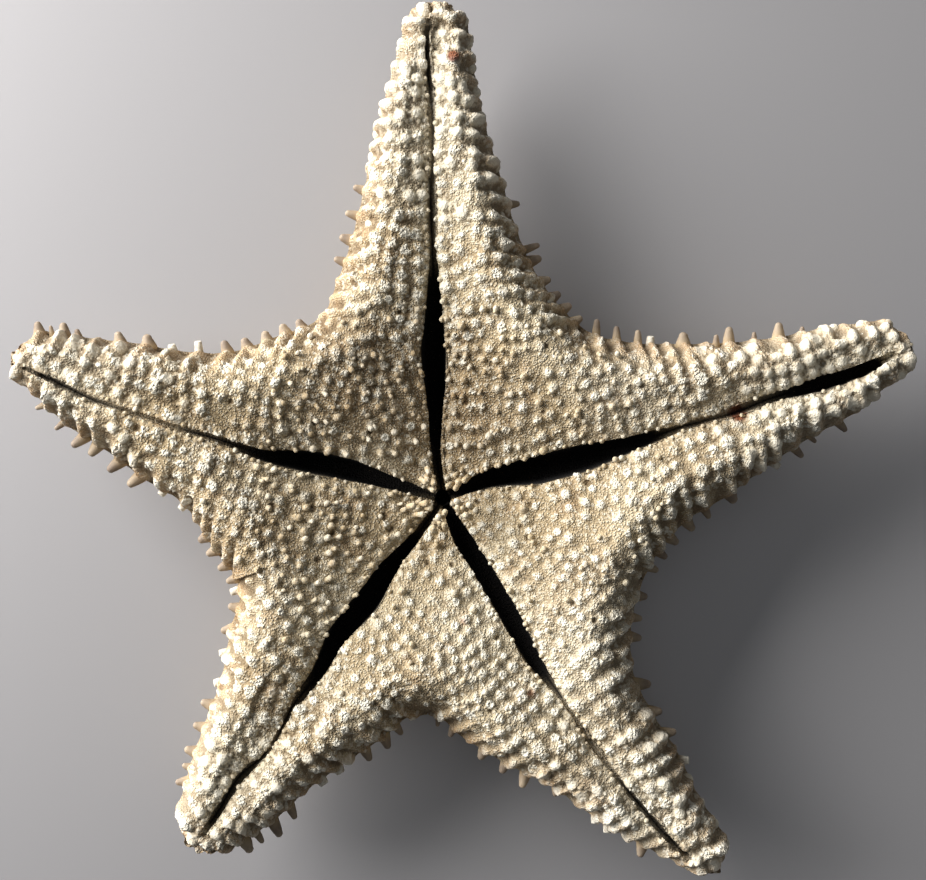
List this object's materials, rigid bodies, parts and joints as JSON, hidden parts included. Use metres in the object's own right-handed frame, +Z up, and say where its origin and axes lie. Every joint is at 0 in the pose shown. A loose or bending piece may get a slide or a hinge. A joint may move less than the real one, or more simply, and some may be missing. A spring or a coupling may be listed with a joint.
{
  "type": "dried starfish",
  "caption": "Dried cushion starfish lying on its domed back, grooved underside up, with granular skin, marginal spines and open feeding grooves.",
  "frame": {"origin": "middle of the outline, on the surface that the starfish lies on", "axes": "+Z up out of the grooved underside, +Y towards the top arm, +X to the right of it, along the longest extent"},
  "size_m": [0.2396, 0.2314, 0.046],
  "materials": {
    "dried_skin": "matt, chalky and granular, tan with whitish knobs"
  },
  "bodies": {
    "root": {"starfish": "dried_skin"}
  },
  "joints": []
}
